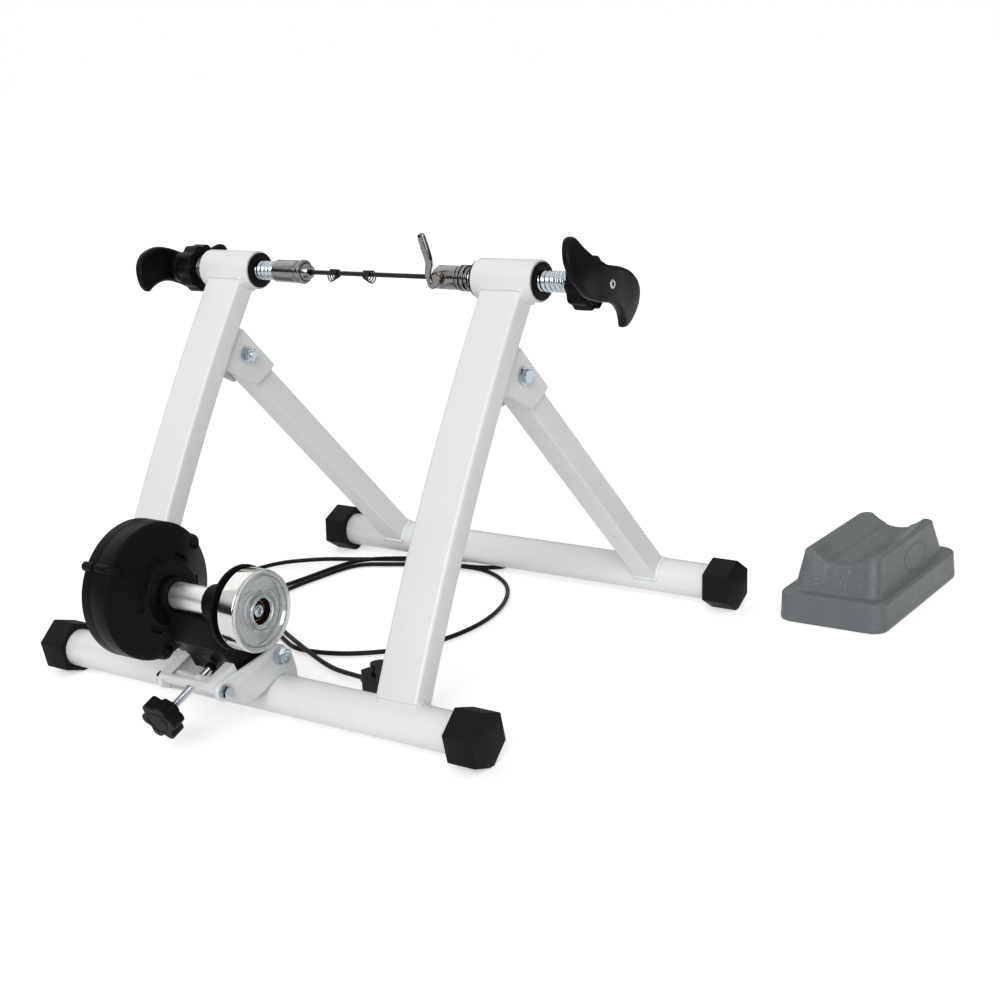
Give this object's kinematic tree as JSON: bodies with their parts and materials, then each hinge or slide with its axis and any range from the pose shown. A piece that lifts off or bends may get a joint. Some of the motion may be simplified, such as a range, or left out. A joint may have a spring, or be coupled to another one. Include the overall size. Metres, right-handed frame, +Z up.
{
  "type": "indoor bicycle trainer stand",
  "caption": "Folding A-frame indoor bicycle trainer: axle clamps with handles, a magnetic roller unit with flywheel, a handlebar remote on a free cable, and a front wheel block.",
  "frame": {"origin": "middle of the footprint on the floor, counted without the cable and its remote", "axes": "+X along the wheel axle to the flywheel's side, +Y from the roller towards the front wheel block, +Z up"},
  "size_m": [0.7491, 0.79, 0.4322],
  "materials": {
    "powder_coat": "glossy off-white powder coat on steel",
    "rubber": "satin black rubber",
    "black_plastic": "satin black moulded plastic",
    "zinc": "zinc plated steel",
    "cup_steel": "turned steel",
    "dark_steel": "blackened steel",
    "chrome": "chrome plated steel",
    "aluminium": "turned aluminium",
    "clear_face": "clear plastic over bright metal",
    "grey_moulding": "fine textured grey moulding"
  },
  "bodies": {
    "frame": {"near_base_tube": "powder_coat", "near_foot_left": "rubber", "near_foot_right": "rubber", "upright_left": "powder_coat", "upright_right": "powder_coat", "hinge_bracket_left": "powder_coat", "hinge_bracket_right": "powder_coat", "hinge_bolt_left": "zinc", "hinge_bolt_right": "zinc", "barrel_left": "powder_coat", "barrel_right": "powder_coat", "inner_bush_left": "black_plastic", "inner_bush_right": "black_plastic", "outer_bush_left": "black_plastic", "outer_bush_right": "black_plastic", "ear_left": "powder_coat", "ear_right": "powder_coat", "cross_bracket": "powder_coat", "bracket_bolt_left": "zinc", "bracket_bolt_right": "zinc", "pivot_bolt": "zinc", "cable": "black_plastic", "remote_body": "black_plastic"},
    "leg_frame": {"leg_left": "powder_coat", "leg_right": "powder_coat", "far_base_tube": "powder_coat", "far_foot_left": "rubber", "far_foot_right": "rubber"},
    "roller_unit": {"yoke": "black_plastic", "housing_inner_shell": "black_plastic", "housing_outer_shell": "black_plastic", "left_bearing": "cup_steel", "right_bearing": "cup_steel"},
    "roller_rotor": {"roller": "aluminium", "roller_shaft": "cup_steel", "rotor_disc": "aluminium", "flywheel": "chrome", "flywheel_face": "clear_face"},
    "magnet_carrier": {"magnet_carrier": "cup_steel"},
    "remote_lever": {"remote_lever": "black_plastic"},
    "adjuster_cap": {"thrust_cap": "black_plastic"},
    "adjuster_screw": {"adjuster_screw": "zinc", "adjuster_knob": "black_plastic"},
    "left_clamp": {"left_cup": "cup_steel", "skewer_rod": "dark_steel", "skewer_nut": "dark_steel", "skewer_cam_housing": "chrome", "skewer_spring_left": "dark_steel", "skewer_spring_right": "dark_steel"},
    "left_screw": {"left_rod": "zinc", "left_handle": "black_plastic"},
    "right_clamp": {"right_cup": "cup_steel"},
    "right_screw": {"right_rod": "zinc", "right_handle": "black_plastic"},
    "left_ring_insert": {"left_lock_insert": "zinc"},
    "left_ring": {"left_lock_ring": "black_plastic"},
    "right_ring_insert": {"right_lock_insert": "zinc"},
    "right_ring": {"right_lock_ring": "black_plastic"},
    "skewer_lever": {"skewer_lever": "chrome"},
    "wheel_block": {"wheel_block": "grey_moulding"}
  },
  "joints": [
    {"name": "leg_fold", "type": "hinge", "parent": "frame", "child": "leg_frame", "pos_m": [-0.08335, -0.07008, 0.29896], "axis": [1, 0, 0], "range_deg": [-72, 0]},
    {"name": "unit_tilt", "type": "hinge", "parent": "frame", "child": "roller_unit", "pos_m": [-0.08335, -0.26603, 0.06408], "axis": [1, 0, 0], "range_deg": [-18, 0]},
    {"name": "roller_spin", "type": "hinge", "parent": "roller_unit", "child": "roller_rotor", "pos_m": [-0.08335, -0.32953, 0.13458], "axis": [1, 0, 0], "continuous": true},
    {"name": "magnet_turn", "type": "hinge", "parent": "roller_unit", "child": "magnet_carrier", "pos_m": [-0.08335, -0.32953, 0.13458], "axis": [1, 0, 0], "range_deg": [0, 45]},
    {"name": "remote_lever_turn", "type": "hinge", "parent": "frame", "child": "remote_lever", "pos_m": [-0.00274, -0.17705, 0.023], "axis": [0, 0, 1], "range_deg": [0, 135]},
    {"name": "adjuster_slide", "type": "slide", "parent": "frame", "child": "adjuster_cap", "axis": [0, 0.9336, 0.3584], "range_m": [0, 0.0034]},
    {"name": "adjuster_turn", "type": "hinge", "parent": "adjuster_cap", "child": "adjuster_screw", "pos_m": [-0.08335, -0.27266, 0.08135], "axis": [0, 0.9336, 0.3584], "range_deg": [0, 960]},
    {"name": "left_clamp_slide", "type": "slide", "parent": "frame", "child": "left_clamp", "axis": [-1, 0, 0], "range_m": [0, 0.015]},
    {"name": "left_screw_turn", "type": "hinge", "parent": "left_clamp", "child": "left_screw", "pos_m": [-0.3, -0.05473, 0.3852], "axis": [-1, 0, 0], "range_deg": [0, 901]},
    {"name": "right_clamp_slide", "type": "slide", "parent": "frame", "child": "right_clamp", "axis": [1, 0, 0], "range_m": [0, 0.005]},
    {"name": "right_screw_turn", "type": "hinge", "parent": "right_clamp", "child": "right_screw", "pos_m": [0.13, -0.05473, 0.3852], "axis": [1, 0, 0], "range_deg": [0, 301]},
    {"name": "left_ring_slide", "type": "slide", "parent": "left_screw", "child": "left_ring_insert", "axis": [1, 0, 0], "range_m": [-0.0105, 0.0066]},
    {"name": "left_ring_turn", "type": "hinge", "parent": "left_ring_insert", "child": "left_ring", "pos_m": [-0.31, -0.05473, 0.3852], "axis": [1, 0, 0], "range_deg": [-631, 397]},
    {"name": "right_ring_slide", "type": "slide", "parent": "right_screw", "child": "right_ring_insert", "axis": [-1, 0, 0], "range_m": [0, 0.036]},
    {"name": "right_ring_turn", "type": "hinge", "parent": "right_ring_insert", "child": "right_ring", "pos_m": [0.17, -0.05473, 0.3852], "axis": [-1, 0, 0], "range_deg": [0, 2161]},
    {"name": "skewer_lever_turn", "type": "hinge", "parent": "left_clamp", "child": "skewer_lever", "pos_m": [0.01615, -0.05473, 0.3882], "axis": [0, 1, 0], "range_deg": [-60, 60]},
    {"name": "block_lift", "type": "slide", "parent": "frame", "child": "wheel_block", "axis": [0, 0, 1], "range_m": [0, 0.1]}
  ],
  "couplings": [
    {"joint": "adjuster_slide", "follows": "unit_tilt", "m_per_rad": -0.0105},
    {"joint": "adjuster_turn", "follows": "unit_tilt", "ratio": -52.779},
    {"joint": "magnet_turn", "follows": "remote_lever_turn", "ratio": 0.33333},
    {"joint": "left_screw_turn", "follows": "left_clamp_slide", "rad_per_m": 1047.2},
    {"joint": "right_screw_turn", "follows": "right_clamp_slide", "rad_per_m": 1047.2},
    {"joint": "left_ring_turn", "follows": "left_ring_slide", "rad_per_m": 1047.2},
    {"joint": "right_ring_turn", "follows": "right_ring_slide", "rad_per_m": 1047.2}
  ]
}
